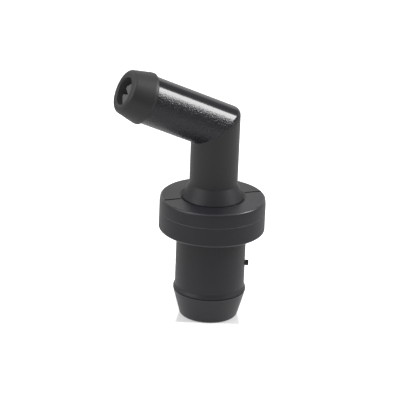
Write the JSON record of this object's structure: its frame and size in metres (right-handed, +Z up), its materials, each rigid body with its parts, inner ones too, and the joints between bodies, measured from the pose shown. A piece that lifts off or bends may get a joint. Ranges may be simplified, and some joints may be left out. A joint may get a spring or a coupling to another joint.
{
  "type": "pcv valve",
  "caption": "Black moulded crankcase ventilation valve: barbed barrel for a grommet, welded round flange, and an elbow outlet with a hose barb.",
  "frame": {"origin": "on the valve's axis, level with the flange's underside, where the grommet stops", "axes": "+Z up the valve's axis from the barrel to the elbow, -X toward the side that the outlet leans to"},
  "size_m": [0.039, 0.0264, 0.0654],
  "materials": {
    "upper_nylon": "black moulded nylon, glossy on the outlet pipe and satin elsewhere",
    "lower_nylon": "black moulded nylon with a satin face",
    "seat_steel": "stamped steel, bare",
    "plunger_steel": "turned steel, bare",
    "spring_steel": "drawn spring wire"
  },
  "bodies": {
    "housing": {"upper_housing": "upper_nylon", "lower_housing": "lower_nylon", "inlet_seat": "seat_steel", "metering_seat": "seat_steel", "plunger_spring": "spring_steel"},
    "plunger": {"plunger": "plunger_steel"}
  },
  "joints": [
    {"name": "plunger_lift", "type": "slide", "parent": "housing", "child": "plunger", "axis": [0, 0, 1], "range_m": [0, 0.005], "stiffness_N_per_m": 280, "springref_m": -0.004, "deforming": ["plunger_spring"]}
  ]
}
